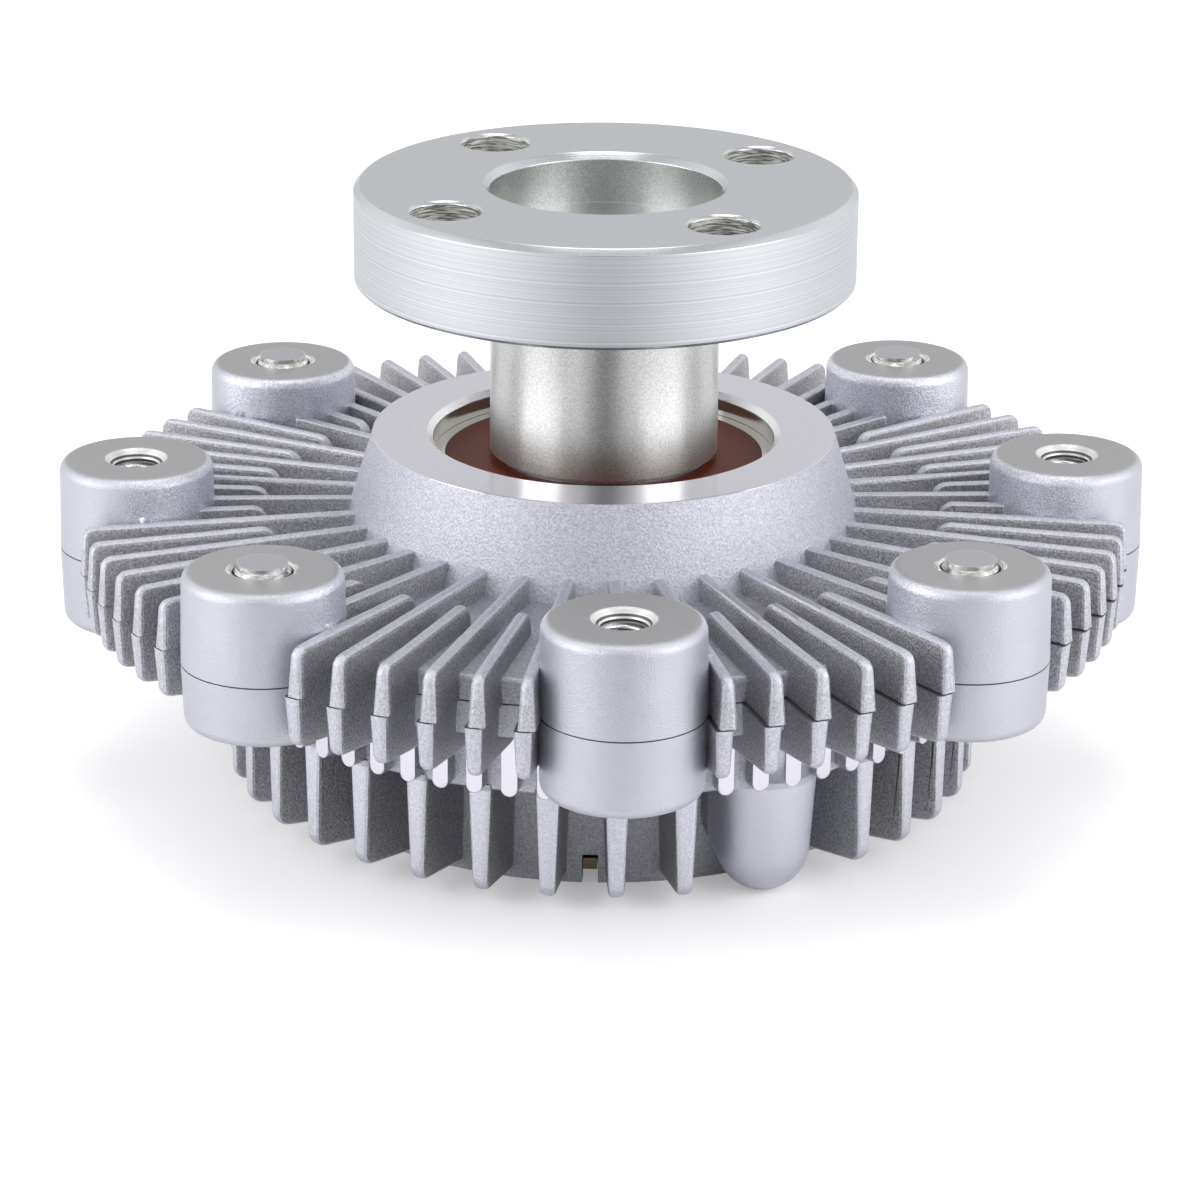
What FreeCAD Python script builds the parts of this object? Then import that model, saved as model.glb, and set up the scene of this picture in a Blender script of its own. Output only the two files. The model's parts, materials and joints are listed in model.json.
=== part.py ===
import FreeCAD, Part
import math
import os

# Viscous fan clutch. The origin is the centre of the flange's pump face, +Z points to the pump,
# and everything else lies below it. Angles are counted from the tapped boss on -Y towards +X.

# Mounting flange and shaft
flange_d = 73.0
flange_t = 14.4
flange_edge = 0.9
flange_back_edge = 0.5
pilot_d = 33.7
pilot_depth = 7.5
pilot_edge = 1.0
mount_count = 4
mount_pcd = 56.0
mount_hole_d = 10.0
mount_hole_edge = 0.45
mount_angle = 33.7
shaft_d = 33.5
shaft_undercut = 0.8
shaft_fillet = 1.0
shoulder_d = 30.8
rotor_journal_d = 22.0
journal_end_edge = 0.8

# Ball bearing between the hub and the rear body
bearing_bore = 25.0
bearing_od = 52.0
bearing_w = 15.0
bearing_drop = 40.9
race_wall = 3.1
ball_d = 7.94
ball_count = 9
groove_gap = 0.15
cage_w = 9.2
cage_t = 1.9
cage_pocket_gap = 0.12
seal_t = 1.0
seal_recess = 0.2
seal_groove = 0.5
seal_lip_gap = 0.08
ring_t = 1.2
ring_groove = 1.2
ring_reach = 2.4
ring_gap_angle = 24.0

# Rear body casting
boss_top_drop = 41.6
neck_top_rise = 4.1
neck_d = 68.0
mouth_d = 50.2
mouth_edge = 0.9
cone_base_d = 76.4
plate_t = 3.6
parting_below_boss = 13.2
ring_d = 136.0
chamber_d = 104.0
chamber_roof_t = 4.0
bearing_boss_wall = 5.0
bearing_boss_end = 1.3
spigot_t = 1.6
spigot_h = 2.4
spigot_gap = 0.1

# Cooling fins that both castings carry round the rim
fin_pitch_angle = 5.0
fin_tip_d = 155.0
fin_tip_draft = 0.5
fin_rise = 3.5
fin_top_t = 1.7
fin_root_t = 2.6
fin_tip_round = 1.6
short_fin_start = 49.6
short_fin_round = 2.4
fin_sink = 1.2
body_fin_turn = 0.2
cover_fin_turn = -0.16

# Bosses on the fan bolt circle
boss_count = 8
boss_circle_d = 137.5
boss_d = 23.0
boss_draft = 0.3
boss_round = 1.6
tap_drill_d = 6.65
tap_edge = 1.2
fin_end_in_boss = 6.0

# Front cover casting
cover_ring_t = 5.0
cover_wall_t = 3.6
cover_fin_tip_h = 7.25
cover_fin_inner_h = 10.1
rib_out = 2.5
rib_t = 2.4
rib_end_above_ledge = 0.4
ledge_drop = 18.2
ledge_t = 2.0
front_fin_angle = 10.0
front_fin_d = 111.8
front_fin_top_t = 3.5
front_fin_tip_t = 2.1
front_fin_end_drop = 15.5
front_fin_root_drop = 16.6
front_fin_round = 2.2
rim_d = 88.6
rim_draft = 0.6
rim_t = 2.8
rim_end_drop = 17.8
rim_depth = 5.0
front_wall_t = 3.3
bump_angle = 24.7
bump_circle_d = 100.6
bump_d = 15.0
bump_end_d = 13.4
bump_above_rim = 0.05
bump_web_slope = 0.7
slot_angle = -4.2
slot_w = 2.2
slot_h = 4.3
tapped_boss_h = 11.45
bolted_boss_h = 9.05
cover_hole_gap = 0.3
valve_boss_d = 18.0
valve_boss_rise = 4.0

# Rotor, divider and the lands of the labyrinth
rotor_gap = 1.1
rotor_hub_d = 38.0
rotor_hub_h = 9.0
rotor_t = 4.5
land_t = 1.4
land_pitch = 4.5
land_first_r = 37.0
land_count = 3
land_end_gap = 1.0
land_sink = 0.5
rotor_fillet = 1.5
retainer_t = 1.2
retainer_out = 2.6
retainer_groove = 0.9
shaft_end_past = 1.0
divider_t = 1.0
divider_gap = 0.1
port_d = 6.0
port_wall_gap = 10.0

# Valve and the bimetal spring
valve_d = 6.0
valve_gap = 0.05
valve_arm_w = 9.0
valve_arm_t = 1.0
valve_arm_gap = 0.3
valve_arm_over = 4.0
valve_arm_angle = 60.0
valve_seal_section = 1.8
valve_end_above_rim = 0.6
coil_t = 1.0
coil_w = 3.0
coil_inner_r = 5.6
coil_rim_gap = 3.5
coil_turns = 5
coil_above_rim = 1.2
coil_tab_h = 1.7
coil_tab_drop = 0.3
coil_slot_gap = 0.1
coil_tab_stand = 0.4

# Seal between the castings, and the bolts that hold them together
seal_ring_section = 2.0
seal_ring_circle_d = 115.0
seal_ring_side_gap = 0.3
bolt_d = 8.0
bolt_tip_d = 7.1
bolt_tip_h = 0.8
bolt_proud = 1.0
bolt_head_d = 13.0
bolt_head_h = 4.2
bolt_head_sink = 4.6
bolt_head_round = 0.8
bolt_head_gap = 0.5
bolt_socket_af = 6.0
bolt_socket_sides = 6
bolt_socket_h = 2.4
bolt_hole_edge = 0.6

# Working values of the cuts and outlines
cut_past = 1.0
same_point = 0.000001

# Heights, all from the flange face down
flange_back = -flange_t
boss_top = -boss_top_drop
neck_top = boss_top + neck_top_rise
parting = boss_top - parting_below_boss
plate_top = parting + plate_t
fin_top = plate_top + fin_rise
bearing_top = -bearing_drop
bearing_bottom = bearing_top - bearing_w
bearing_middle = (bearing_top + bearing_bottom) / 2.0
ring_bottom = bearing_bottom - ring_t
body_boss_bottom = ring_bottom - bearing_boss_end
chamber_roof = plate_top - chamber_roof_t
rotor_bottom = bearing_bottom - rotor_hub_h
rotor_top = rotor_bottom + rotor_t
ledge = parting - ledge_drop
divider_seat = ledge + ledge_t
rim_bottom = ledge - rim_end_drop
front_face = rim_bottom + rim_depth
front_inside = front_face + front_wall_t
tapped_boss_bottom = parting - tapped_boss_h
bolted_boss_bottom = parting - bolted_boss_h

# Radii
fin_tip_r = fin_tip_d / 2.0
ring_r = ring_d / 2.0
chamber_r = chamber_d / 2.0
wall_r = chamber_r + cover_wall_t
boss_circle_r = boss_circle_d / 2.0
boss_r = boss_d / 2.0
rim_r = rim_d / 2.0
rim_inner_r = rim_r - rim_t
bearing_r = bearing_od / 2.0
inner_land_r = bearing_bore / 2.0 + race_wall
outer_land_r = bearing_r - race_wall
pitch_r = (bearing_bore + bearing_od) / 4.0
reservoir_r = rim_inner_r
port_r = reservoir_r - port_wall_gap
coil_outer_r = rim_inner_r - coil_rim_gap
valve_r = valve_d / 2.0

UP = FreeCAD.Vector(0, 0, 1)
CENTRE = FreeCAD.Vector(0, 0, 0)


def side_point(r, z):
    return FreeCAD.Vector(r, 0, z)


def outline(corners, at=side_point):
    """Closed wire through (a, b, round) corners: a round above zero becomes a tangent arc."""
    points = [at(corner[0], corner[1]) for corner in corners]
    edges = []
    starts = []
    for i, point in enumerate(points):
        size = corners[i][2] if len(corners[i]) > 2 else 0.0
        if not size:
            starts.append((point, point))
            continue
        back = (points[i - 1] - point).normalize()
        ahead = (points[(i + 1) % len(points)] - point).normalize()
        half = back.getAngle(ahead) / 2.0
        reach = size / math.tan(half)
        middle = (back + ahead).normalize()
        centre = point + middle * (size / math.sin(half))
        first = point + back * reach
        last = point + ahead * reach
        edges.append(Part.Arc(first, centre - middle * size, last).toShape())
        starts.append((first, last))
    for i, (_, leave) in enumerate(starts):
        arrive = starts[(i + 1) % len(starts)][0]
        if leave.distanceToPoint(arrive) > same_point:
            edges.append(Part.LineSegment(leave, arrive).toShape())
    return Part.Wire(Part.__sortEdges__(edges))


def turned(corners):
    """Solid of revolution about Z from (radius, height, round) corners."""
    return Part.Face(outline(corners)).revolve(CENTRE, UP, 360)


def placed(shape, radius, angle):
    """A copy moved out to the radius on -Y, then turned about Z by the angle."""
    copy = shape.copy()
    copy.translate(FreeCAD.Vector(0, -radius, 0))
    copy.rotate(CENTRE, UP, angle)
    return copy


def facing(shape, angle):
    """A copy of a shape drawn along +X, turned to the angle counted from -Y."""
    copy = shape.copy()
    copy.rotate(CENTRE, UP, angle - 90.0)
    return copy


def disc(radius, bottom, top):
    return Part.makeCylinder(radius, top - bottom, FreeCAD.Vector(0, 0, bottom))


def tube(outer, inner, bottom, top):
    return disc(outer, bottom, top).cut(disc(inner, bottom, top))


def cone(bottom_r, top_r, bottom, top):
    return Part.makeCone(bottom_r, top_r, top - bottom, FreeCAD.Vector(0, 0, bottom))


def countersink(hole_r, edge, face, side):
    """Cone that breaks a hole's edge at a face; side is 1 if the hole opens upwards."""
    deep = face - side * edge
    if side > 0:
        return cone(hole_r, hole_r + edge, deep, face)
    return cone(hole_r + edge, hole_r, face, deep)


def joined(core, pieces):
    return core.fuse(pieces).removeSplitter()


def across_point(y, z):
    return FreeCAD.Vector(0, y, z)


def slab(side_corners, thickness):
    """Plate of even thickness that stands on the radial plane."""
    face = Part.Face(outline(side_corners))
    plate = face.extrude(FreeCAD.Vector(0, thickness, 0))
    plate.translate(FreeCAD.Vector(0, -thickness / 2.0, 0))
    return plate


def tapered_bar(start, end, z_wide, wide, z_narrow, narrow):
    """Radial bar whose thickness changes evenly from one height to the other."""
    half = wide / 2.0
    half_narrow = narrow / 2.0
    corners = [(-half, z_wide), (half, z_wide), (half_narrow, z_narrow), (-half_narrow, z_narrow)]
    bar = Part.Face(outline(corners, across_point)).extrude(FreeCAD.Vector(end - start, 0, 0))
    bar.translate(FreeCAD.Vector(start, 0, 0))
    return bar


def fin_angles():
    """Every fin's number and angle."""
    total = int(round(360.0 / fin_pitch_angle))
    for index in range(total):
        angle = index * fin_pitch_angle
        yield index, angle


def under_boss(angle):
    """True where a boss stands in the way of the fin's outer part."""
    step = 360.0 / boss_count
    away = abs((angle + step / 2.0) % step - step / 2.0)
    side = boss_circle_r * math.sin(math.radians(away))
    return side < boss_r - fin_root_t


def boss_angles(parity):
    step = 360.0 / boss_count
    return [step * i for i in range(boss_count) if i % 2 == parity]


def body_fin(start, inner_round, end, tip_round):
    base = plate_top - fin_sink
    draft = fin_tip_draft if tip_round else 0.0
    corners = [
        (start, base),
        (start, fin_top, inner_round),
        (end - draft, fin_top, tip_round),
        (end, parting),
        (ring_r - fin_sink, parting),
        (ring_r - fin_sink, base),
    ]
    if end < ring_r:
        corners = corners[:3] + [(end, base)]
    bar = tapered_bar(start, end, parting, fin_root_t, fin_top, fin_top_t)
    return bar.common(slab(corners, fin_root_t))


def body_fins():
    inside_cone = neck_d / 2.0
    inside_boss = boss_circle_r - fin_end_in_boss
    long_fin = body_fin(inside_cone, 0, fin_tip_r, fin_tip_round)
    short_fin = body_fin(short_fin_start, short_fin_round, fin_tip_r, fin_tip_round)
    long_to_boss = body_fin(inside_cone, 0, inside_boss, 0)
    short_to_boss = body_fin(short_fin_start, short_fin_round, inside_boss, 0)
    fins = []
    for index, angle in fin_angles():
        if under_boss(angle):
            kind = short_to_boss if index % 2 else long_to_boss
        else:
            kind = short_fin if index % 2 else long_fin
        fins.append(facing(kind, angle + body_fin_turn))
    return fins


def rear_body():
    neck_r = neck_d / 2.0
    mouth_r = mouth_d / 2.0
    boss_wall_r = bearing_r + bearing_boss_wall
    core = turned([
        (mouth_r, neck_top),
        (neck_r, neck_top),
        (cone_base_d / 2.0, plate_top),
        (ring_r, plate_top),
        (ring_r, parting),
        (chamber_r - spigot_gap, parting),
        (chamber_r - spigot_gap, parting - spigot_h),
        (chamber_r - spigot_gap - spigot_t, parting - spigot_h),
        (chamber_r - spigot_gap - spigot_t, chamber_roof),
        (boss_wall_r, chamber_roof),
        (boss_wall_r, body_boss_bottom),
        (bearing_r, body_boss_bottom),
        (bearing_r, bearing_top),
        (mouth_r, bearing_top),
    ])
    boss = turned([
        (0, boss_top),
        (boss_r - boss_draft, boss_top, boss_round),
        (boss_r, parting),
        (0, parting),
    ])
    bosses = [placed(boss, boss_circle_r, angle) for angle in boss_angles(0) + boss_angles(1)]
    lands = []
    for index in range(land_count - 1):
        middle = land_first_r + land_pitch * (index + 0.5)
        low = rotor_top + land_end_gap
        lands.append(tube(middle + land_t / 2.0, middle - land_t / 2.0, low, chamber_roof + land_sink))
    casting = joined(core, body_fins() + bosses + lands)
    cuts = [countersink(mouth_r, mouth_edge, neck_top, 1)]
    cuts.append(disc(bearing_r + ring_groove, ring_bottom, bearing_bottom))
    for angle in boss_angles(0):
        hole = disc(tap_drill_d / 2.0, parting, boss_top)
        cuts.append(placed(hole, boss_circle_r, angle))
        cuts.append(placed(countersink(tap_drill_d / 2.0, tap_edge, boss_top, 1), boss_circle_r, angle))
    for angle in boss_angles(1):
        cuts.append(placed(disc(bolt_d / 2.0, parting, boss_top), boss_circle_r, angle))
        cuts.append(placed(countersink(bolt_d / 2.0, bolt_hole_edge, boss_top, 1), boss_circle_r, angle))
    return casting.cut(cuts)


def cover_rim_fin(end, tip_round):
    top = parting - cover_ring_t / 2.0
    draft = fin_tip_draft if tip_round else 0.0
    root = wall_r - cover_wall_t / 2.0
    slope = (cover_fin_inner_h - cover_fin_tip_h) / (fin_tip_r - root)
    end_bottom = parting - cover_fin_tip_h - slope * (fin_tip_r - end)
    corners = [
        (root, top),
        (root, parting - cover_fin_inner_h),
        (end - draft, end_bottom, tip_round),
        (end, parting),
        (ring_r - fin_sink, parting),
        (ring_r - fin_sink, top),
    ]
    if end < ring_r:
        corners = corners[:3] + [(end, top)]
    bar = tapered_bar(root, end, parting, fin_root_t, parting - cover_fin_inner_h, fin_top_t)
    return bar.common(slab(corners, fin_root_t))


def rib():
    """Upright rib with a round lower end, standing out of the cover's wall."""
    root = wall_r - cover_wall_t / 2.0
    half = rib_t / 2.0
    low = ledge + rib_end_above_ledge
    high = parting - cover_ring_t + fin_sink
    left = FreeCAD.Vector(0, -half, low + half)
    right = FreeCAD.Vector(0, half, low + half)
    arc = Part.Arc(left, FreeCAD.Vector(0, 0, low), right).toShape()
    corner_right = FreeCAD.Vector(0, half, high)
    corner_left = FreeCAD.Vector(0, -half, high)
    sides = [
        Part.LineSegment(right, corner_right).toShape(),
        Part.LineSegment(corner_right, corner_left).toShape(),
        Part.LineSegment(corner_left, left).toShape(),
    ]
    bar = Part.Face(Part.Wire([arc] + sides)).extrude(FreeCAD.Vector(wall_r + rib_out - root, 0, 0))
    bar.translate(FreeCAD.Vector(root, 0, 0))
    return bar


def front_fin():
    root = rim_r - rim_t / 2.0
    end = front_fin_d / 2.0
    corners = [
        (root, ledge + ledge_t / 2.0),
        (end, ledge + ledge_t / 2.0),
        (end, ledge - front_fin_end_drop, front_fin_round),
        (root, ledge - front_fin_root_drop),
    ]
    top = ledge + ledge_t / 2.0
    bar = tapered_bar(root, end, top, front_fin_top_t, ledge - front_fin_root_drop, front_fin_tip_t)
    return bar.common(slab(corners, front_fin_top_t))


def bump():
    """Round pillar with a ball end, joined to the rim by a web, in place of two front fins."""
    top = ledge + ledge_t / 2.0
    end_r = bump_end_d / 2.0
    ball_z = rim_bottom + bump_above_rim + end_r
    ball = Part.makeSphere(end_r, FreeCAD.Vector(0, 0, ball_z))
    pillar = cone(end_r, bump_d / 2.0, ball_z, top)
    reach = bump_circle_d / 2.0 - rim_r + rim_t
    inward = FreeCAD.Vector(0, 1, bump_web_slope)
    web_end = Part.makeCylinder(end_r, reach * inward.Length, FreeCAD.Vector(0, 0, ball_z), inward)
    corners = [(0, ball_z), (reach, ball_z + reach * bump_web_slope), (reach, top), (0, top)]
    web = Part.Face(outline(corners, across_point)).extrude(FreeCAD.Vector(bump_end_d, 0, 0))
    web.translate(FreeCAD.Vector(-end_r, 0, 0))
    whole = placed(pillar.fuse([ball, web_end, web]), bump_circle_d / 2.0, bump_angle)
    return whole.cut(disc(rim_r - rim_t / 2.0, rim_bottom, top))


def cover_fins():
    inside_boss = boss_circle_r - fin_end_in_boss
    long_fin = cover_rim_fin(fin_tip_r, fin_tip_round)
    to_boss = cover_rim_fin(inside_boss, 0)
    upright = rib()
    big = front_fin()
    fins = []
    for _, angle in fin_angles():
        kind = to_boss if under_boss(angle) else long_fin
        fins.append(facing(kind, angle + cover_fin_turn))
        fins.append(facing(upright, angle))
    for index in range(int(round(360.0 / front_fin_angle))):
        angle = index * front_fin_angle
        if abs(angle - bump_angle) > front_fin_angle:
            fins.append(facing(big, angle))
    return fins


def front_cover():
    seat_r = chamber_r
    core = turned([
        (seat_r, parting),
        (ring_r, parting),
        (ring_r, parting - cover_ring_t),
        (wall_r, parting - cover_ring_t),
        (wall_r, ledge),
        (rim_r + rim_draft, ledge),
        (rim_r, rim_bottom),
        (rim_inner_r, rim_bottom),
        (rim_inner_r, front_face),
        (0, front_face),
        (0, front_inside),
        (reservoir_r, front_inside),
        (reservoir_r, divider_seat),
        (seat_r, divider_seat),
    ])
    bosses = []
    for parity, bottom in enumerate((tapped_boss_bottom, bolted_boss_bottom)):
        boss = turned([
            (0, parting),
            (boss_r, parting),
            (boss_r - boss_draft, bottom, boss_round),
            (0, bottom),
        ])
        bosses += [placed(boss, boss_circle_r, angle) for angle in boss_angles(parity)]
    valve_boss = disc(valve_boss_d / 2.0, front_face, front_inside + valve_boss_rise)
    casting = joined(core, cover_fins() + bosses + [bump(), valve_boss])
    groove_half = seal_ring_section / 2.0 + seal_ring_side_gap / 2.0
    groove_middle = seal_ring_circle_d / 2.0
    groove_bottom = parting - seal_ring_section
    seal_seat = front_inside + valve_boss_rise - valve_seal_section
    cuts = [
        tube(groove_middle + groove_half, groove_middle - groove_half, groove_bottom, parting),
        disc(valve_r + valve_gap, front_face, front_inside + valve_boss_rise),
        disc(valve_r + valve_seal_section, seal_seat, front_inside + valve_boss_rise),
        facing(slot_box(slot_w, rim_bottom, rim_bottom + slot_h), slot_angle),
    ]
    for angle in boss_angles(1):
        hole = disc(bolt_d / 2.0 + cover_hole_gap, bolted_boss_bottom, parting)
        cuts.append(placed(hole, boss_circle_r, angle))
        seat = bolted_boss_bottom + bolt_head_sink
        pocket = disc(bolt_head_d / 2.0 + bolt_head_gap, bolted_boss_bottom, seat)
        cuts.append(placed(pocket, boss_circle_r, angle))
    return casting.cut(cuts)


def slot_box(width, low, high):
    """Radial box that runs through the rim wall."""
    start = rim_inner_r - cut_past
    length = rim_r + rim_draft + cut_past - start
    return Part.makeBox(length, width, high - low, FreeCAD.Vector(start, -width / 2.0, low))


def hub_shaft():
    flange_r = flange_d / 2.0
    shaft_r = shaft_d / 2.0
    retainer_top = rotor_bottom
    end = retainer_top - retainer_t - shaft_end_past
    journal_r = rotor_journal_d / 2.0
    groove_r = journal_r - retainer_groove
    body = turned([
        (0, -pilot_depth),
        (pilot_d / 2.0, -pilot_depth),
        (pilot_d / 2.0, -pilot_edge),
        (pilot_d / 2.0 + pilot_edge, 0),
        (flange_r - flange_edge, 0),
        (flange_r, -flange_edge),
        (flange_r, flange_back + flange_back_edge),
        (flange_r - flange_back_edge, flange_back),
        (shaft_r, flange_back, shaft_fillet),
        (shaft_r, bearing_top + shaft_undercut),
        (shoulder_d / 2.0, bearing_top + shaft_undercut),
        (shoulder_d / 2.0, bearing_top),
        (bearing_bore / 2.0, bearing_top),
        (bearing_bore / 2.0, bearing_bottom),
        (journal_r, bearing_bottom),
        (journal_r, retainer_top),
        (groove_r, retainer_top),
        (groove_r, retainer_top - retainer_t),
        (journal_r, retainer_top - retainer_t),
        (journal_r, end + journal_end_edge),
        (journal_r - journal_end_edge, end),
        (0, end),
    ])
    cuts = []
    for index in range(mount_count):
        angle = mount_angle + index * 360.0 / mount_count
        cuts.append(placed(disc(mount_hole_d / 2.0, flange_back, 0), mount_pcd / 2.0, angle))
        sink = countersink(mount_hole_d / 2.0, mount_hole_edge, 0, 1)
        cuts.append(placed(sink, mount_pcd / 2.0, angle))
    return body.cut(cuts)


def race_groove():
    groove_r = ball_d / 2.0 + groove_gap
    return Part.makeTorus(pitch_r, groove_r, FreeCAD.Vector(0, 0, bearing_middle))


def bearing_inner_race():
    ring = tube(inner_land_r, bearing_bore / 2.0, bearing_bottom, bearing_top)
    return ring.cut(race_groove())


def bearing_outer_race():
    ring = tube(bearing_r, outer_land_r, bearing_bottom, bearing_top)
    groove_r = outer_land_r + seal_groove
    top_low = bearing_top - seal_recess - seal_t
    bottom_high = bearing_bottom + seal_recess + seal_t
    cuts = [
        race_groove(),
        disc(groove_r, top_low, bearing_top),
        disc(groove_r, bearing_bottom, bottom_high),
    ]
    return ring.cut(cuts)


def ball_places():
    for index in range(ball_count):
        turn = math.radians(index * 360.0 / ball_count)
        yield FreeCAD.Vector(pitch_r * math.cos(turn), pitch_r * math.sin(turn), bearing_middle)


def bearing_balls():
    return Part.makeCompound([Part.makeSphere(ball_d / 2.0, place) for place in ball_places()])


def bearing_cage():
    low = bearing_middle - cage_w / 2.0
    high = bearing_middle + cage_w / 2.0
    ring = tube(pitch_r + cage_t / 2.0, pitch_r - cage_t / 2.0, low, high)
    pocket_r = ball_d / 2.0 + cage_pocket_gap
    pockets = []
    for place in ball_places():
        outward = FreeCAD.Vector(place.x, place.y, 0).normalize()
        pockets.append(Part.makeCylinder(pocket_r, cage_t * 2.0, place - outward * cage_t, outward))
    return ring.cut(pockets)


def bearing_seal(low):
    return tube(outer_land_r + seal_groove, inner_land_r + seal_lip_gap, low, low + seal_t)


def split_ring(outer, inner, low, high, gap_angle):
    """Flat ring with a gap, as a snap ring has."""
    ring = tube(outer, inner, low, high)
    wedge = Part.makeCylinder(outer + cut_past, high - low, FreeCAD.Vector(0, 0, low), UP, gap_angle)
    return ring.cut(wedge)


def bearing_retaining_ring():
    outer = bearing_r + ring_groove
    return split_ring(outer, bearing_r - ring_reach, ring_bottom, bearing_bottom, ring_gap_angle)


def rotor_retaining_ring():
    inner = rotor_journal_d / 2.0 - retainer_groove
    outer = rotor_journal_d / 2.0 + retainer_out
    return split_ring(outer, inner, rotor_bottom - retainer_t, rotor_bottom, ring_gap_angle)


def rotor():
    rotor_r = chamber_r - rotor_gap
    core = turned([
        (rotor_journal_d / 2.0, bearing_bottom),
        (inner_land_r, bearing_bottom),
        (rotor_hub_d / 2.0, rotor_top, rotor_fillet),
        (rotor_r, rotor_top),
        (rotor_r, rotor_bottom),
        (rotor_journal_d / 2.0, rotor_bottom),
    ])
    lands = []
    for index in range(land_count):
        middle = land_first_r + land_pitch * index
        high = chamber_roof - land_end_gap
        lands.append(tube(middle + land_t / 2.0, middle - land_t / 2.0, rotor_top - land_sink, high))
    return joined(core, lands)


def divider_plate():
    plate = disc(chamber_r - divider_gap, divider_seat, divider_seat + divider_t)
    port = disc(port_d / 2.0, divider_seat, divider_seat + divider_t)
    return plate.cut(placed(port, port_r, valve_arm_angle))


def valve_arm():
    top = divider_seat - valve_arm_gap
    low = top - valve_arm_t
    length = port_r + valve_arm_over
    strip = Part.makeBox(length, valve_arm_w, valve_arm_t, FreeCAD.Vector(0, -valve_arm_w / 2.0, low))
    tip = Part.makeCylinder(valve_arm_w / 2.0, valve_arm_t, FreeCAD.Vector(length, 0, low))
    eye = Part.makeCylinder(valve_arm_w / 2.0, valve_arm_t, FreeCAD.Vector(0, 0, low))
    arm = joined(strip, [tip, eye])
    return facing(arm, valve_arm_angle).cut(disc(valve_r, low, top))


def valve_shaft():
    top = divider_seat - valve_arm_gap
    end = rim_bottom + valve_end_above_rim
    pin = disc(valve_r, end, top)
    slot_top = rim_bottom + coil_above_rim + coil_w + coil_slot_gap
    gap = coil_t + 2.0 * coil_slot_gap
    corner = FreeCAD.Vector(-valve_r - cut_past, -gap / 2.0, end)
    slot = Part.makeBox(valve_d + 2.0 * cut_past, gap, slot_top - end, corner)
    return pin.cut(slot)


def valve_shaft_seal():
    section_r = valve_seal_section / 2.0 - valve_gap / 2.0
    middle = front_inside + valve_boss_rise - valve_seal_section / 2.0
    return Part.makeTorus(valve_r + valve_seal_section - section_r, section_r, FreeCAD.Vector(0, 0, middle))


def strip_arc(radius, middle, start, sweep, low):
    """Stretch of the coil's strip along an arc from a start point, counter-clockwise."""
    turn = math.degrees(math.atan2(start.y - middle.y, start.x - middle.x))
    base = FreeCAD.Vector(middle.x, middle.y, low)
    outer = Part.makeCylinder(radius + coil_t / 2.0, coil_w, base, UP, sweep)
    inner = Part.makeCylinder(radius - coil_t / 2.0, coil_w, base, UP, sweep)
    piece = outer.cut(inner)
    piece.rotate(base, UP, turn)
    return piece


def spiral_turns(low):
    """Half circles about two middles, each next one larger by half the spacing of the turns."""
    spacing = (coil_outer_r - coil_inner_r) / coil_turns
    pieces = []
    start = FreeCAD.Vector(-coil_inner_r, 0, 0)
    for index in range(coil_turns * 2):
        side = 1.0 if index % 2 else -1.0
        radius = coil_inner_r + spacing / 4.0 + index * spacing / 2.0
        middle = FreeCAD.Vector(start.x - side * radius, 0, 0)
        pieces.append(strip_arc(radius, middle, start, 180.0, low))
        start = FreeCAD.Vector(middle.x - side * radius, 0, 0)
    last_sweep = 90.0 + slot_angle
    pieces.append(strip_arc(coil_outer_r, CENTRE, start, last_sweep, low))
    return pieces


def bimetal_coil():
    """Flat spiral strip: its inner end lies in the valve shaft's slot, its tab in the rim's slot."""
    low = rim_bottom + coil_above_rim
    pieces = spiral_turns(low)
    inner_end = Part.makeBox(coil_inner_r + valve_r, coil_t, coil_w)
    inner_end.translate(FreeCAD.Vector(-coil_inner_r, -coil_t / 2.0, low))
    pieces.append(inner_end)
    leg_length = rim_inner_r - coil_slot_gap - coil_outer_r
    leg = Part.makeBox(leg_length, coil_t, coil_w, FreeCAD.Vector(coil_outer_r, -coil_t / 2.0, low))
    pieces.append(facing(leg, slot_angle))
    tab_w = slot_w - 2.0 * coil_slot_gap
    tab_low = rim_bottom + slot_h - coil_tab_drop - coil_tab_h
    tab_start = rim_inner_r - coil_slot_gap - tab_w
    tab_length = rim_r + coil_tab_stand - tab_start
    tab = Part.makeBox(tab_length, tab_w, coil_tab_h, FreeCAD.Vector(tab_start, -tab_w / 2.0, tab_low))
    pieces.append(facing(tab, slot_angle))
    return joined(pieces[0], pieces[1:])


def cover_seal():
    middle = seal_ring_circle_d / 2.0
    half = seal_ring_section / 2.0
    return tube(middle + half, middle - half, parting - seal_ring_section, parting)


def hexagon(across_flats, low, high):
    corner_r = across_flats / 2.0 / math.cos(math.pi / bolt_socket_sides)
    points = []
    for index in range(bolt_socket_sides + 1):
        turn = math.radians(index * 360.0 / bolt_socket_sides)
        points.append(FreeCAD.Vector(corner_r * math.cos(turn), corner_r * math.sin(turn), low))
    return Part.Face(Part.makePolygon(points)).extrude(FreeCAD.Vector(0, 0, high - low))


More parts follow.
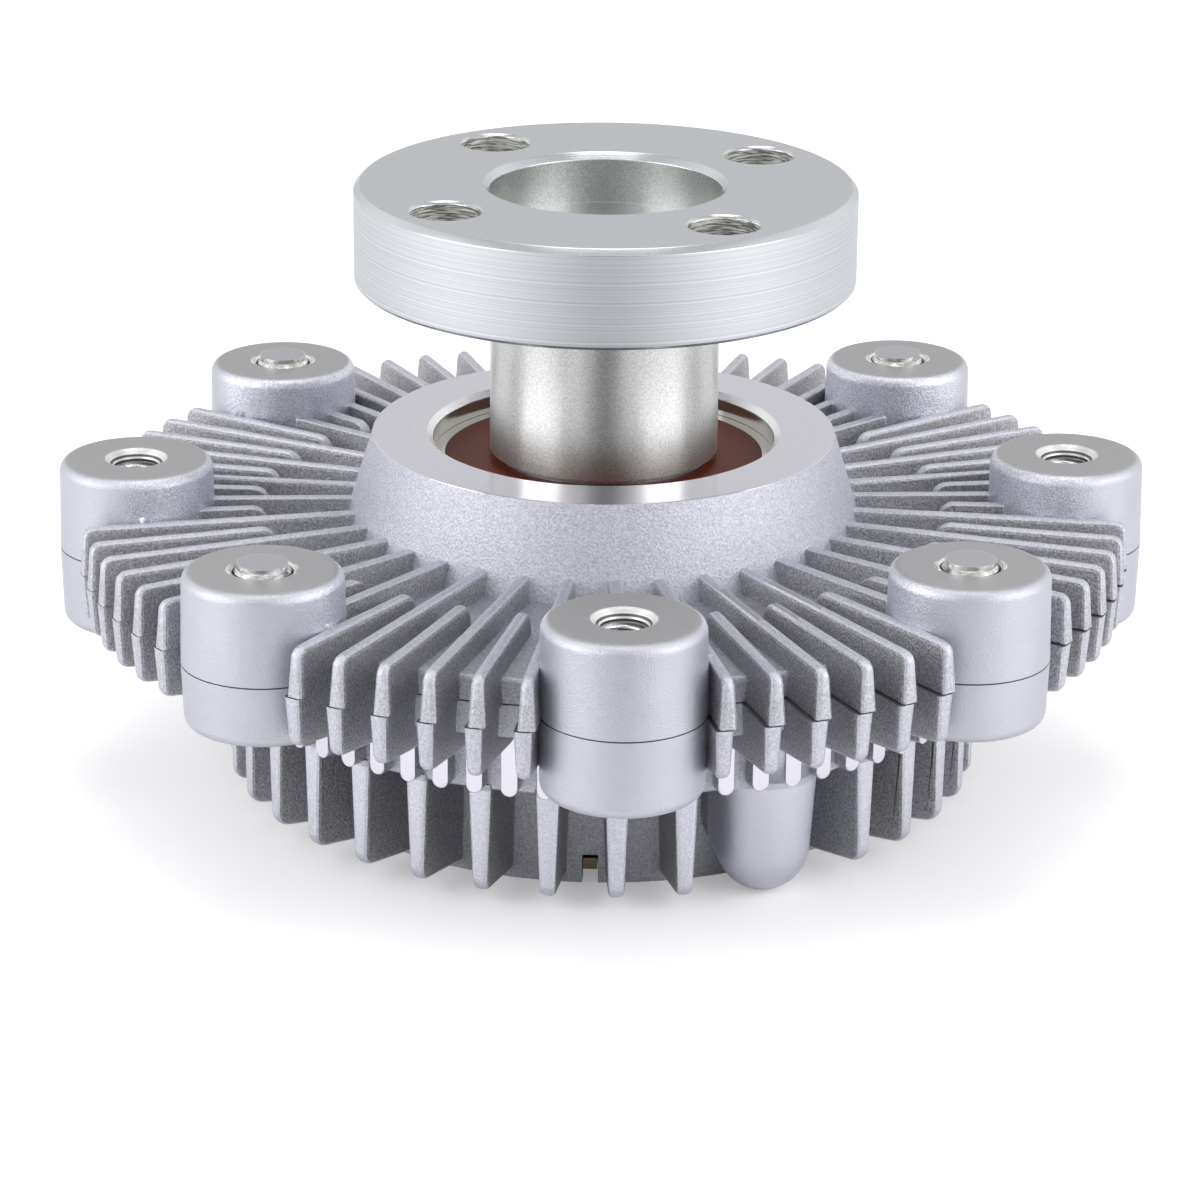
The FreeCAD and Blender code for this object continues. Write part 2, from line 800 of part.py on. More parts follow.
def cover_bolt(angle):
    """Socket bolt: its head lies in the cover boss, its tip stands out of the body boss."""
    tip = boss_top + bolt_proud
    edge = (bolt_d - bolt_tip_d) / 2.0
    head_top = bolted_boss_bottom + bolt_head_sink
    head_low = head_top - bolt_head_h
    bolt = turned([
        (0, tip),
        (bolt_tip_d / 2.0, tip),
        (bolt_tip_d / 2.0, tip - bolt_tip_h),
        (bolt_d / 2.0, tip - bolt_tip_h - edge),
        (bolt_d / 2.0, head_top),
        (bolt_head_d / 2.0, head_top),
        (bolt_head_d / 2.0, head_low, bolt_head_round),
        (0, head_low),
    ])
    socket = hexagon(bolt_socket_af, head_low, head_low + bolt_socket_h)
    return placed(bolt.cut(socket), boss_circle_r, angle)


def save(name, shape):
    """Write one piece, after a look at its solids."""
    if not shape.isValid():
        raise RuntimeError(name + " is not a valid shape")
    print(name, len(shape.Solids), round(shape.Volume, 1), len(shape.Faces))
    shape.exportStep("parts/" + name + ".step")


def main():
    os.makedirs("parts", exist_ok=True)
    save("hub_shaft", hub_shaft())
    save("rear_body", rear_body())
    save("front_cover", front_cover())
    save("bearing_inner_race", bearing_inner_race())
    save("bearing_outer_race", bearing_outer_race())
    save("bearing_balls", bearing_balls())
    save("bearing_cage", bearing_cage())
    save("bearing_seal_rear", bearing_seal(bearing_top - seal_recess - seal_t))
    save("bearing_seal_front", bearing_seal(bearing_bottom + seal_recess))
    save("bearing_retaining_ring", bearing_retaining_ring())
    save("rotor", rotor())
    save("rotor_retaining_ring", rotor_retaining_ring())
    save("divider_plate", divider_plate())
    save("valve_arm", valve_arm())
    save("valve_shaft", valve_shaft())
    save("valve_shaft_seal", valve_shaft_seal())
    save("bimetal_coil", bimetal_coil())
    save("cover_seal", cover_seal())
    for number, angle in enumerate(boss_angles(1), 1):
        save("cover_bolt_" + str(number), cover_bolt(angle))


main()
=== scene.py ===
import json
import math

import bpy
from mathutils import Matrix, Vector


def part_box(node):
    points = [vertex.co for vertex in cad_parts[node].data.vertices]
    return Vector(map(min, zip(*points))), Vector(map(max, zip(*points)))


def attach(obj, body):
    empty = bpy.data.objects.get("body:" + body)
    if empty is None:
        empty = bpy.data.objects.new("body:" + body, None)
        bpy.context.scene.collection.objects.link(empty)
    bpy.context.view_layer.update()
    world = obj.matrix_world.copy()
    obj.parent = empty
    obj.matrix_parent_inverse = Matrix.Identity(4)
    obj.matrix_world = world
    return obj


bl_info = {
    "name": "Viscous fan clutch finish",
    "version": (1, 0, 0),
    "blender": (4, 5, 0),
    "location": "3D View > Sidebar > Fan clutch",
    "description": "Dresses a viscous fan clutch in its real finishes and sets it on a studio floor",
    "category": "Object",
}

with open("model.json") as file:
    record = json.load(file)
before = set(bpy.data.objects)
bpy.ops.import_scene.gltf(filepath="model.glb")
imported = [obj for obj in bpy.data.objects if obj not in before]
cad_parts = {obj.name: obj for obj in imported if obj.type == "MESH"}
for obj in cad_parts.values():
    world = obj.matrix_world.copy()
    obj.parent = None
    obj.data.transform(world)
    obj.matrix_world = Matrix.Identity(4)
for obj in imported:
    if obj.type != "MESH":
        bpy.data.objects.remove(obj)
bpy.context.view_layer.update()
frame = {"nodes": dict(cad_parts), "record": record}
MM = 0.001

# Places that the finishes need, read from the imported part
MOUNTS = {mount["name"]: mount for mount in frame["record"]["mounts"]}
COVER_LOW, COVER_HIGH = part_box("front_cover")
NECK_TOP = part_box("rear_body")[1][2]
PARTING = COVER_HIGH[2]
FLOOR_Z = COVER_LOW[2]
BOLT_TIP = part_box("cover_bolt_1")[1][2]
BOSS_TOP = BOLT_TIP - 1.0 * MM
BOSS_CIRCLE_R = MOUNTS["fan_bolts"]["dims"]["pcd_mm"] * MM / 2
TAP_R = MOUNTS["fan_bolts"]["dims"]["hole_r_mm"] * MM
TAP_START = MOUNTS["fan_bolts"]["pos_m"][2]
PILOT_R = MOUNTS["pump_pilot"]["dims"]["r_mm"] * MM
PUMP_HOLE_R = MOUNTS["pump_bolts"]["dims"]["hole_r_mm"] * MM
PUMP_CIRCLE_R = MOUNTS["pump_bolts"]["dims"]["pcd_mm"] * MM / 2
HALF_STEP = math.radians(45)

# Widths and heights of the zones with a finish of their own, some a hair past the solid's face
ZONE_SLACK = 0.08 * MM
BOSS_R = 11.5 * MM + ZONE_SLACK
BOLT_R = 4.0 * MM
BOLT_END_R = BOLT_R - 0.5 * MM
BOLT_GAP_R = BOLT_R + 0.25 * MM
BOLT_HOLE_R = 4.6 * MM
CUT_HOLE_R = BOLT_HOLE_R + 0.6 * MM
HEAD_POCKET_R = 8.5 * MM
TAP_MOUTH_R = TAP_R + BOSS_TOP - TAP_START + ZONE_SLACK
NECK_R = 34.05 * MM
MOUTH_EDGE_R = 26.0 * MM
MOUTH_EDGE = 0.85 * MM
MOUTH_WALL_R = MOUTH_EDGE_R - 0.8 * MM
CONE_R = 38.2 * MM
CONE_FOOT = PARTING + 3.6 * MM
SEAM = 0.11 * MM
TOOL_TURN = 0.6 * MM
WALL_R = 55.6 * MM
RIB_FACE_R = 57.95 * MM
RIB_FACE_END_R = 58.3 * MM
RIB_TURNED_TOP = PARTING - 5.2 * MM
LEDGE = PARTING - 18.2 * MM
RIM_R = 44.9 * MM
RIM_RECESS_R = 41.7 * MM
SLOT_TOP = FLOOR_Z + 5.0 * MM
PILLAR_ANGLE = math.radians(24.7)
PILLAR_CIRCLE_R = 50.3 * MM
PILLAR_R = 7.8 * MM
PUMP_HOLE_ANGLE = math.radians(33.7)
SHAFT_R = 17.3 * MM
FLANGE_BACK = -14.3 * MM

# The pillar's upper end, behind the ribs
PILLAR_HEAD_R = 7.5 * MM
PILLAR_HEAD_LOW = LEDGE + 0.9 * MM
PILLAR_HEAD_HIGH = LEDGE + 9.0 * MM
PILLAR_HEAD_SIDES = 48

# The M8 thread of the tapped bosses
THREAD_PITCH = 1.25 * MM
THREAD_DEPTH = 0.3 * MM
THREAD_STEPS = 28
THREAD_LOW = PARTING + 0.2 * MM
THREAD_HIGH = TAP_START + 0.25 * MM

# The stake marks beside the bolts' ends
STAKE_R = 4.75 * MM
STAKE_WIDTH = 0.38 * MM
STAKE_HEIGHT = 0.3 * MM
STAKE_SINK = 0.03 * MM
STAKE_HALF_ANGLE = math.radians(26)

# Edges that bend more than the first are rounded, and those past the second stay crisp if they aren't
ROUNDED_FROM = math.radians(32)
CRISP_FROM = math.radians(28)

# How far round from a boss's middle the fins that run into it lie
FINS_BESIDE_BOSS = math.radians(7.4)

# Brightness of the surround: a share of the turn from the camera's side, round over the left, and a value
WALLS = ((0.0, 0.26), (0.03, 0.34), (0.08, 0.95), (0.2, 1.08), (0.38, 1.05), (0.45, 0.76),
         (0.5, 0.72), (0.55, 0.76), (0.62, 1.05), (0.8, 1.08), (0.92, 0.95), (0.97, 0.34), (1.0, 0.26))
CEILING = 0.6

# The studio, in metres: lamps, dark flag and floor
LEFT_LAMP = (-0.86, -0.31, 0.4)
RIGHT_LAMP = (0.8, -0.44, 0.4)
TOP_LAMP = (0.0, 0.1, 0.95)
LAMP_AIM = (0.0, 0.0, -0.04)
SIDE_LAMP_SIZE = (0.8, 0.9)
TOP_LAMP_SIZE = (0.55, 0.55)
FLAG_PLACE = (-0.012, -0.62, FLOOR_Z + 0.5 * MM)
FLAG_SIZE = (0.13, 0.9, 1.0)
FLOOR_SIZE = 8.0


def linear(text):
    """Linear colour with alpha from an sRGB hex text."""
    values = [int(text[i:i + 2], 16) / 255 for i in (1, 3, 5)]
    return [v / 12.92 if v <= 0.04045 else ((v + 0.055) / 1.055) ** 2.4 for v in values] + [1.0]


def add_node(tree, kind, settings=None, links=None):
    """Adds one node, with its settings by property or socket and its links by socket."""
    node = tree.nodes.new(kind)
    for key, value in (settings or {}).items():
        if isinstance(key, str) and hasattr(node, key):
            setattr(node, key, value)
        else:
            node.inputs[key].default_value = value
    for key, source in (links or {}).items():
        tree.links.new(source, node.inputs[key])
    return node


def math_node(tree, operation, *values):
    """One sum: each value is a number or a socket."""
    settings = {i: value for i, value in enumerate(values) if isinstance(value, (int, float))}
    links = {i: value for i, value in enumerate(values) if i not in settings}
    return add_node(tree, "ShaderNodeMath", {"operation": operation, **settings}, links).outputs[0]


def spots_of(tree, place):
    """A place split up, with its distance from the axis."""
    split = add_node(tree, "ShaderNodeSeparateXYZ", links={0: place})
    flat = add_node(tree, "ShaderNodeCombineXYZ", links={0: split.outputs[0], 1: split.outputs[1]})
    radius = add_node(tree, "ShaderNodeVectorMath", {"operation": "LENGTH"}, {0: flat.outputs[0]})
    return {"place": place, "x": split.outputs[0], "y": split.outputs[1], "z": split.outputs[2],
            "flat": flat.outputs[0], "radius": radius.outputs["Value"]}


def new_finish(name):
    """An empty material with a Principled shader, and the places on the piece."""
    material = bpy.data.materials.new(name)
    material.use_nodes = True
    tree = material.node_tree
    tree.nodes.clear()
    shader = add_node(tree, "ShaderNodeBsdfPrincipled")
    add_node(tree, "ShaderNodeOutputMaterial", links={"Surface": shader.outputs[0]})
    coordinates = add_node(tree, "ShaderNodeTexCoord")
    spots = spots_of(tree, coordinates.outputs["Object"])
    spots["normal"] = coordinates.outputs["Normal"]
    return material, tree, shader, spots


def below(tree, source, limit):
    """1 where the value is under the limit."""
    return math_node(tree, "LESS_THAN", source, limit)


def above(tree, source, limit):
    """1 where the value is over the limit."""
    return math_node(tree, "GREATER_THAN", source, limit)


def between(tree, source, low, high):
    """1 where the value lies between the two limits."""
    return math_node(tree, "MULTIPLY", above(tree, source, low), below(tree, source, high))


def both(tree, *zones):
    """1 where every one of the zones is 1."""
    whole = zones[0]
    for zone in zones[1:]:
        whole = math_node(tree, "MULTIPLY", whole, zone)
    return whole


def either(tree, *zones):
    """1 where any of the zones is 1."""
    whole = zones[0]
    for zone in zones[1:]:
        whole = math_node(tree, "MAXIMUM", whole, zone)
    return whole


def outside(tree, zone):
    """1 where the zone is 0."""
    return math_node(tree, "SUBTRACT", 1.0, zone)


def round_axes(tree, spots, first_angle, count, circle_r, radius):
    """1 near any of the upright axes spaced evenly on a circle, counted from -Y towards +X."""
    step = 2 * math.pi / count
    angle = math_node(tree, "ARCTAN2", spots["x"], math_node(tree, "MULTIPLY", spots["y"], -1.0))
    turned = math_node(tree, "WRAP", math_node(tree, "SUBTRACT", angle, first_angle), step / 2, -step / 2)
    along = math_node(tree, "MULTIPLY", math_node(tree, "COSINE", turned), spots["radius"])
    square = math_node(tree, "MULTIPLY", spots["radius"], spots["radius"])
    reach = math_node(tree, "MULTIPLY_ADD", along, -2 * circle_r, circle_r ** 2)
    return below(tree, math_node(tree, "ADD", square, reach), radius ** 2)


def blend_value(tree, factor, low, high):
    """A number that goes from low to high with the factor: each is a number or a socket."""
    settings = {"data_type": "FLOAT"}
    links = {0: factor}
    for socket, value in ((2, low), (3, high)):
        (settings if isinstance(value, (int, float)) else links)[socket] = value
    return add_node(tree, "ShaderNodeMix", settings, links).outputs[0]


def blend_colour(tree, factor, low, high):
    """A colour mixed from two hex texts, colour values or sources."""
    settings = {"data_type": "RGBA"}
    links = {0: factor}
    for socket, colour in ((6, low), (7, high)):
        if isinstance(colour, str):
            settings[socket] = linear(colour)
        elif isinstance(colour, list):
            settings[socket] = colour
        else:
            links[socket] = colour
    return add_node(tree, "ShaderNodeMix", settings, links).outputs[2]


def shade(colour, share):
    """The same hue at a share of its brightness."""
    return [value * share for value in colour[:3]] + [1.0]


def speckled(tree, speck, colour, dark, light):
    """A colour that the specks of a grain make darker and lighter by the two shares."""
    return blend_colour(tree, speck, shade(colour, dark), shade(colour, light))


def grain(tree, place, size_mm, detail=2.0, rough=0.55, flatness=1.0):
    """Noise whose blobs are about as wide as the size, and flatter than wide if asked."""
    if flatness != 1.0:
        settings = {"operation": "MULTIPLY", 1: (1.0, 1.0, flatness)}
        place = add_node(tree, "ShaderNodeVectorMath", settings, {0: place}).outputs[0]
    settings = {"Scale": 1.0 / (size_mm * MM), "Detail": detail, "Roughness": rough}
    return add_node(tree, "ShaderNodeTexNoise", settings, {"Vector": place}).outputs[0]


def turning_lines(tree, spots, spacing_mm, detail=3.0, wave_mm=0.0):
    """Noise that varies only along the cut of a lathe tool, so it draws rings about the axis."""
    way = math_node(tree, "ADD", spots["radius"], spots["z"])
    if wave_mm:
        drift = grain(tree, spots["place"], 1.6, 2.0)
        way = math_node(tree, "MULTIPLY_ADD", drift, wave_mm * MM, way)
    settings = {"noise_dimensions": "1D", "Scale": 1.0 / (spacing_mm * MM), "Detail": detail,
                "Roughness": 0.7}
    return add_node(tree, "ShaderNodeTexNoise", settings, {"W": way}).outputs[0]


def soft_step(tree, source, low, high):
    """0 under the low value and 1 over the high one, with a soft step between."""
    settings = {"interpolation_type": "SMOOTHSTEP", "From Min": low, "From Max": high}
    return add_node(tree, "ShaderNodeMapRange", settings, {"Value": source}).outputs[0]


def relief(tree, shader, height, depth_mm, strength=1.0):
    """Raises and sinks the surface by the height, at most by the depth."""
    settings = {"Strength": strength, "Distance": depth_mm * MM}
    bump = add_node(tree, "ShaderNodeBump", settings, {"Height": height})
    tree.links.new(bump.outputs[0], shader.inputs["Normal"])


def facing_out(tree, spots):
    """How squarely a face looks away from the axis, and how squarely it looks up or down."""
    outward = add_node(tree, "ShaderNodeVectorMath", {"operation": "NORMALIZE"}, {0: spots["flat"]})
    links = {0: spots["normal"], 1: outward.outputs[0]}
    share = add_node(tree, "ShaderNodeVectorMath", {"operation": "DOT_PRODUCT"}, links).outputs["Value"]
    upright = add_node(tree, "ShaderNodeSeparateXYZ", links={0: spots["normal"]}).outputs[2]
    return math_node(tree, "ABSOLUTE", share), math_node(tree, "ABSOLUTE", upright)


def boss_zone(tree, spots):
    """1 on the eight bosses."""
    return round_axes(tree, spots, 0.0, 8, BOSS_CIRCLE_R, BOSS_R)


def pillar_zone(tree, spots, past=0.0):
    """1 on the round pillar, and as far past it as asked."""
    return round_axes(tree, spots, PILLAR_ANGLE, 1, PILLAR_CIRCLE_R, PILLAR_R + past)


def flanks(tree, spots):
    """1 on the fins' sides, which look along the turn, and 0 on tops, ends, bosses and pillar."""
    out, level = facing_out(tree, spots)
    side = outside(tree, soft_step(tree, math_node(tree, "MAXIMUM", out, level), 0.35, 0.75))
    pillar = both(tree, pillar_zone(tree, spots), below(tree, spots["z"], LEDGE + 1 * MM))
    return both(tree, side, outside(tree, either(tree, boss_zone(tree, spots), pillar)))


def blasted_skin(tree, spots, colour, hollow_shade_colour, shaded_hollow):
    """Colour, roughness and height of the blasted casting: sandy, finer on bosses and pillar, with painted
    shade and painted light.
    """
    raised = either(tree, boss_zone(tree, spots), pillar_zone(tree, spots))
    coarse = grain(tree, spots["place"], 0.34, 3.0, 0.7)
    fine = grain(tree, spots["place"], 0.26, 2.0, 0.65)
    sand = blend_value(tree, raised, coarse, fine)
    speck = soft_step(tree, sand, 0.3, 0.72)
    low = below(tree, spots["z"], LEDGE)
    neck = both(tree, below(tree, spots["radius"], CONE_R + 0.6 * MM), above(tree, spots["z"], CONE_FOOT))

    # Fins and plate, with painted light that makes them brighter below the ledge, and the neck's cone
    skin = speckled(tree, speck, colour, 0.84, 1.2)
    skin = blend_colour(tree, low, skin, speckled(tree, speck, colour, 1.08, 1.4))
    skin = blend_colour(tree, neck, skin, speckled(tree, speck, colour, 0.82, 1.24))

    # Bosses and pillar: smooth, with painted light on the pillar below the ledge, sandy grain with a
    # painted light on the bosses' inner sides, and plain grey on top
    cloud = grain(tree, spots["place"], 6.0, 3.0)
    smooth = speckled(tree, cloud, colour, 0.94, 1.04)
    smooth = blend_colour(tree, low, smooth, shade(colour, 1.2))
    # The bosses' inner sides get a sandy grain with a painted light, lighter on average than the rest
    inner = soft_step(tree, spots["radius"], BOSS_CIRCLE_R + 5 * MM, BOSS_CIRCLE_R)
    inner = both(tree, inner, above(tree, spots["z"], PARTING))
    smooth = blend_colour(tree, inner, smooth, speckled(tree, speck, colour, 0.95, 1.55))
    level = soft_step(tree, facing_out(tree, spots)[1], 0.8, 0.98)
    smooth = blend_colour(tree, level, smooth, "#b5b5b7")
    skin = blend_colour(tree, raised, skin, smooth)

    # Flanks and hollows get a painted shade and a coarser grain, and the seam between the castings is a
    # dark line
    skin = blend_colour(tree, shaded_hollow, skin, speckled(tree, speck, hollow_shade_colour, 0.68, 1.45))
    seam = between(tree, spots["z"], PARTING - SEAM, PARTING + SEAM)
    skin = blend_colour(tree, math_node(tree, "MULTIPLY", seam, 0.8), skin, "#3c3c40")
    rough = blend_value(tree, neck, blend_value(tree, sand, 0.42, 0.54), 0.54)
    depth = blend_value(tree, shaded_hollow, blend_value(tree, raised, 0.7, 0.55), 1.0)
    return skin, rough, math_node(tree, "MULTIPLY", sand, depth)


def machined_skin(tree, spots):
    """Colour, roughness and height of what is cut into the casting: bright, with fine rings."""
    rings = turning_lines(tree, spots, 0.45)
    skin = blend_colour(tree, rings, "#dedbe6", "#e8e6ef")

    # The bearing's bore is darker than the neck's top, and the mouth's edge is a near-white painted
    # highlight
    deep = below(tree, spots["radius"], MOUTH_WALL_R)
    bore = both(tree, deep, above(tree, spots["z"], BOSS_TOP))
    skin = blend_colour(tree, bore, skin, blend_colour(tree, rings, "#9a968f", "#bcb8b1"))
    lip_highlight = between(tree, spots["radius"], MOUTH_EDGE_R - MOUTH_EDGE, MOUTH_EDGE_R)
    lip_highlight = both(tree, lip_highlight, above(tree, spots["z"], BOSS_TOP))

    # Tapped holes show the tool's turns below their bevel, and each bolt stands in a ring of near-black
    # painted shade
    holes = round_axes(tree, spots, 0.0, 8, BOSS_CIRCLE_R, CUT_HOLE_R)
    turns = math_node(tree, "MULTIPLY", spots["z"], 2 * math.pi / TOOL_TURN)
    turns = soft_step(tree, math_node(tree, "SINE", turns), -0.6, 0.6)
    turns = both(tree, turns, below(tree, spots["z"], BOSS_TOP - 0.4 * MM))
    skin = blend_colour(tree, holes, skin, blend_colour(tree, turns, "#e9e9ea", "#63625e"))
    bolt_gap_shade = round_axes(tree, spots, HALF_STEP, 4, BOSS_CIRCLE_R, BOLT_GAP_R)
    skin = blend_colour(tree, bolt_gap_shade, skin, "#3a3a3c")
    skin = blend_colour(tree, lip_highlight, skin, "#fbfbfd")
    rough = blend_value(tree, either(tree, lip_highlight, holes), blend_value(tree, rings, 0.1, 0.15), 0.36)
    return skin, rough, math_node(tree, "MULTIPLY", rings, 0.04)


def cast_aluminium(name, colour, hollow_shade_colour, machined_zone, hollow_shade_zone):
    """Shot-blasted die-cast aluminium: matte silver with an even sandy grain and soft sparkle.

    The fins' flanks and the hollows are coarser and carry painted shade; the fins and pillar below the
    ledge and the bosses' inner sides carry painted light. Machined zones of the same casting are smooth and
    bright, with fine rings.
    """
    material, tree, shader, spots = new_finish(name)
    zone = machined_zone(tree, spots)
    # Painted shade: the fins' flanks and the hollows are coloured darker
    shaded_hollow = either(tree, flanks(tree, spots), hollow_shade_zone(tree, spots))
    blasted = blasted_skin(tree, spots, colour, hollow_shade_colour, shaded_hollow)
    machined = machined_skin(tree, spots)
    tree.links.new(blend_colour(tree, zone, blasted[0], machined[0]), shader.inputs["Base Color"])
    tree.links.new(blend_value(tree, zone, blasted[1], machined[1]), shader.inputs["Roughness"])
    shader.inputs["Metallic"].default_value = 1.0
    relief(tree, shader, blend_value(tree, zone, blasted[2], machined[2]), 0.18, 1.0)
    return material


def body_machined(tree, spots):
    """The neck's top ring, the mouth, the tapped holes and the rims of the bolt holes."""
    face = above(tree, spots["z"], NECK_TOP - ZONE_SLACK)
    top = both(tree, face, below(tree, spots["radius"], NECK_R))
    inside = below(tree, spots["radius"], MOUTH_EDGE_R)
    mouth = both(tree, above(tree, spots["z"], BOSS_TOP - 1 * MM), inside)
    tapped = round_axes(tree, spots, 0.0, 4, BOSS_CIRCLE_R, TAP_MOUTH_R)
    bolted = round_axes(tree, spots, HALF_STEP, 4, BOSS_CIRCLE_R, BOLT_HOLE_R)
    return either(tree, top, mouth, tapped, bolted)


def body_shaded_hollow(tree, spots):
    """The plate between the fins, with painted shade at about a third of full strength."""
    low = below(tree, spots["z"], CONE_FOOT + 0.3 * MM)
    plate = both(tree, low, above(tree, spots["radius"], CONE_R), outside(tree, boss_zone(tree, spots)))
    return math_node(tree, "MULTIPLY", plate, 0.35)


def cover_machined(tree, spots):
    """The outer faces of the upright ribs, turned to one diameter."""
    face = between(tree, spots["radius"], RIB_FACE_R, RIB_FACE_END_R)
    return both(tree, face, between(tree, spots["z"], LEDGE, RIB_TURNED_TOP))


def cover_shaded_hollow(tree, spots):
    """The rim's wall between the front fins, deep behind their ends, and the wall behind the ribs, with
    painted shade.
    """
    low = below(tree, spots["z"], LEDGE + ZONE_SLACK)
    rim = both(tree, below(tree, spots["radius"], RIM_R + 0.4 * MM), low)
    wall = both(tree, below(tree, spots["radius"], WALL_R + 0.4 * MM), above(tree, spots["z"], LEDGE))
    rim = math_node(tree, "MULTIPLY", rim, 0.7)
    return either(tree, rim, math_node(tree, "MULTIPLY", wall, 0.3))


def zinc_plated_steel(colour):
    """Turned steel under bright zinc plate: bluish silver, with the lathe's rings under the plate.

    The rings stretch every reflection upright, so round faces show upright light and dark bands.
    The flange's face is satin, its recess rougher and a little green, its holes are drilled bare, and the
    shaft is bare and grainy.
    """
    material, tree, shader, spots = new_finish("zinc_plated_turned_steel")
    level = facing_out(tree, spots)[1]
    rings = turning_lines(tree, spots, 0.32, 2.0, 0.14)
    sand = grain(tree, spots["place"], 0.28, 2.0, 0.6)
    marks = grain(tree, spots["place"], 2.6, 2.0, 0.6, 14.0)
    inside = below(tree, spots["radius"], PILOT_R + 0.02 * MM)
    inner = both(tree, inside, above(tree, spots["z"], FLANGE_BACK))
    shaft = both(tree, below(tree, spots["radius"], SHAFT_R), below(tree, spots["z"], FLANGE_BACK))
    holes = round_axes(tree, spots, PUMP_HOLE_ANGLE, 4, PUMP_CIRCLE_R, PUMP_HOLE_R + 0.1 * MM)
    flat = soft_step(tree, level, 0.5, 0.9)

    # Plate with the rings' bright lines on the side, even on the face; recess, shaft and holes over it
    plate = speckled(tree, soft_step(tree, rings, 0.3, 0.7), colour, 0.88, 1.08)
    plate = blend_colour(tree, flat, plate, shade(colour, 0.9))
    recess = blend_colour(tree, soft_step(tree, sand, 0.3, 0.7), "#babdbb", "#d9dad9")
    bare = blend_colour(tree, soft_step(tree, sand, 0.3, 0.7), "#c8c8c5", "#e6e6e4")
    drilled = blend_colour(tree, soft_step(tree, marks, 0.42, 0.58), "#8a8985", "#f0f0ec")
    colours = blend_colour(tree, inner, plate, recess)
    colours = blend_colour(tree, shaft, colours, bare)
    colours = blend_colour(tree, holes, colours, drilled)
    tree.links.new(colours, shader.inputs["Base Color"])

    # Satin, with polished bevels that catch the lamps
    bevel = both(tree, above(tree, level, 0.3), below(tree, level, 0.92))
    rough = blend_value(tree, flat, 0.6, 0.44)
    rough = blend_value(tree, bevel, rough, 0.24)
    rough = blend_value(tree, either(tree, inner, shaft), rough, blend_value(tree, sand, 0.29, 0.35))
    tree.links.new(rough, shader.inputs["Roughness"])

    # The upright stretch, strongest on the shaft and absent on level faces and in the holes
    upright = both(tree, outside(tree, flat), outside(tree, either(tree, inner, holes)))
    stretch = math_node(tree, "MULTIPLY", upright, blend_value(tree, shaft, 0.4, 0.9))
    tree.links.new(stretch, shader.inputs["Anisotropic"])
    shader.inputs["Anisotropic Rotation"].default_value = 0.25
    tangent = add_node(tree, "ShaderNodeTangent", {"direction_type": "RADIAL", "axis": "Z"})
    tree.links.new(tangent.outputs[0], shader.inputs["Tangent"])
    shader.inputs["Metallic"].default_value = 1.0

    # Relief: the rings' cuts on the plate, grain on the shaft and in the recess, tool marks in the holes
    cut = math_node(tree, "MULTIPLY", rings, blend_value(tree, flat, 0.22, 0.03))
    cut = math_node(tree, "MULTIPLY_ADD", sand, blend_value(tree, flat, 0.3, 0.02), cut)
    skin = blend_value(tree, either(tree, inner, shaft), cut, math_node(tree, "MULTIPLY", sand, 0.3))
    relief(tree, shader, blend_value(tree, holes, skin, marks), 0.08, 0.7)
    return material


def bolt_steel():
    """Zinc-plated bolt: the cut end is satin grey with a near-white painted highlight round its rim, and
    the rubbed threads below it are bright.
    """
    material, tree, shader, spots = new_finish("zinc_plated_bolt_steel")
    level = soft_step(tree, facing_out(tree, spots)[1], 0.85, 0.95)
    worn = grain(tree, spots["place"], 0.9, 3.0, 0.6, 2.0)
    thread = blend_colour(tree, soft_step(tree, worn, 0.35, 0.65), "#c4c5c2", "#f3f4f2")
    end = blend_colour(tree, worn, "#b4b6bb", "#c6c8cd")
    # Painted highlight: the end's outer ring is near white, and the middle keeps the satin grey
    middle = round_axes(tree, spots, HALF_STEP, 4, BOSS_CIRCLE_R, BOLT_END_R)
    end = blend_colour(tree, middle, "#f2f3f4", end)
    tree.links.new(blend_colour(tree, level, thread, end), shader.inputs["Base Color"])
    tree.links.new(blend_value(tree, level, 0.2, 0.4), shader.inputs["Roughness"])
    shader.inputs["Metallic"].default_value = 1.0
    relief(tree, shader, worn, 0.05, 0.5)
    return material


def plain_metal(name, colours, rough, spacing_mm=0.3, turned=True):
    """A small metal piece: rings from turning or grinding, or the faint grain of rolled sheet."""
    material, tree, shader, spots = new_finish(name)
    if turned:
        marks = turning_lines(tree, spots, spacing_mm)
    else:
        marks = grain(tree, spots["place"], spacing_mm, 3.0)
    tree.links.new(blend_colour(tree, marks, colours[0], colours[1]), shader.inputs["Base Color"])
    tree.links.new(blend_value(tree, marks, rough[0], rough[1]), shader.inputs["Roughness"])
    shader.inputs["Metallic"].default_value = 1.0
    relief(tree, shader, marks, 0.02, 0.5)
    return material


def moulded_rubber(name, colour, rough):
    """Moulded nitrile rubber: dull and even, with a slight sheen where it was pressed smooth."""
    material, tree, shader, spots = new_finish(name)
    cloud = grain(tree, spots["place"], 2.5, 3.0)
    tree.links.new(speckled(tree, cloud, colour, 0.88, 1.12), shader.inputs["Base Color"])
    tree.links.new(blend_value(tree, cloud, rough[0], rough[1]), shader.inputs["Roughness"])
    shader.inputs["IOR"].default_value = 1.52
    shader.inputs["Specular IOR Level"].default_value = 0.1
    relief(tree, shader, grain(tree, spots["place"], 0.3), 0.02, 0.5)
    return material


def dress(node, material):
    """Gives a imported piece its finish."""
    piece = frame["nodes"][node]
    piece.data.materials.clear()
    piece.data.materials.append(material)
    return piece


